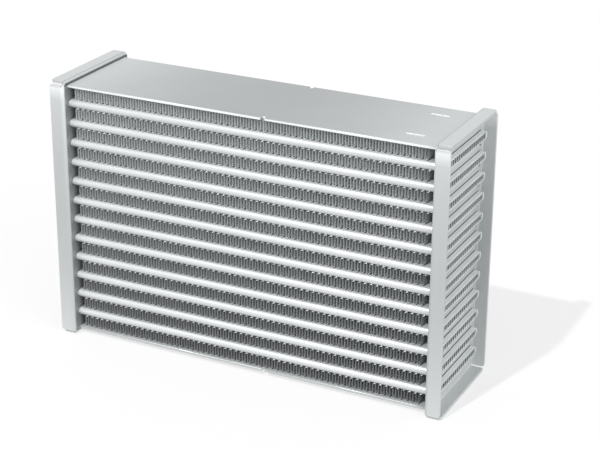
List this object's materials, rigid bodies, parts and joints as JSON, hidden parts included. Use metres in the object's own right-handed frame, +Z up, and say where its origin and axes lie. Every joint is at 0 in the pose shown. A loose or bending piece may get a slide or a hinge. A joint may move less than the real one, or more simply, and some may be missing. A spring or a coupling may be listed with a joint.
{
  "type": "intercooler core",
  "caption": "Brazed aluminium charge-air cooler core with flat tubes, folded air fins, side plates and open folded header pans, without end tanks.",
  "frame": {"origin": "middle of the footprint, on the surface that the core stands on", "axes": "+X along the tubes from the left header to the right one, +Y from the front face to the rear face, +Z up"},
  "size_m": [0.3, 0.0864, 0.1947],
  "materials": {
    "sheet_aluminium": "bare rolled sheet, satin after brazing",
    "tube_aluminium": "bare drawn tube, bright satin",
    "fin_aluminium": "thin folded foil, satin"
  },
  "bodies": {
    "root": {"charge_tube_01": "tube_aluminium", "charge_tube_02": "tube_aluminium", "charge_tube_03": "tube_aluminium", "charge_tube_04": "tube_aluminium", "charge_tube_05": "tube_aluminium", "charge_tube_06": "tube_aluminium", "charge_tube_07": "tube_aluminium", "charge_tube_08": "tube_aluminium", "charge_tube_09": "tube_aluminium", "charge_tube_10": "tube_aluminium", "charge_tube_11": "tube_aluminium", "charge_tube_12": "tube_aluminium", "turbulator_01": "fin_aluminium", "turbulator_02": "fin_aluminium", "turbulator_03": "fin_aluminium", "turbulator_04": "fin_aluminium", "turbulator_05": "fin_aluminium", "turbulator_06": "fin_aluminium", "turbulator_07": "fin_aluminium", "turbulator_08": "fin_aluminium", "turbulator_09": "fin_aluminium", "turbulator_10": "fin_aluminium", "turbulator_11": "fin_aluminium", "turbulator_12": "fin_aluminium", "air_fin_01": "fin_aluminium", "air_fin_02": "fin_aluminium", "air_fin_03": "fin_aluminium", "air_fin_04": "fin_aluminium", "air_fin_05": "fin_aluminium", "air_fin_06": "fin_aluminium", "air_fin_07": "fin_aluminium", "air_fin_08": "fin_aluminium", "air_fin_09": "fin_aluminium", "air_fin_10": "fin_aluminium", "air_fin_11": "fin_aluminium", "air_fin_12": "fin_aluminium", "air_fin_13": "fin_aluminium", "side_plate_top": "sheet_aluminium", "side_plate_bottom": "sheet_aluminium", "header_left": "sheet_aluminium", "header_right": "sheet_aluminium"}
  },
  "joints": []
}
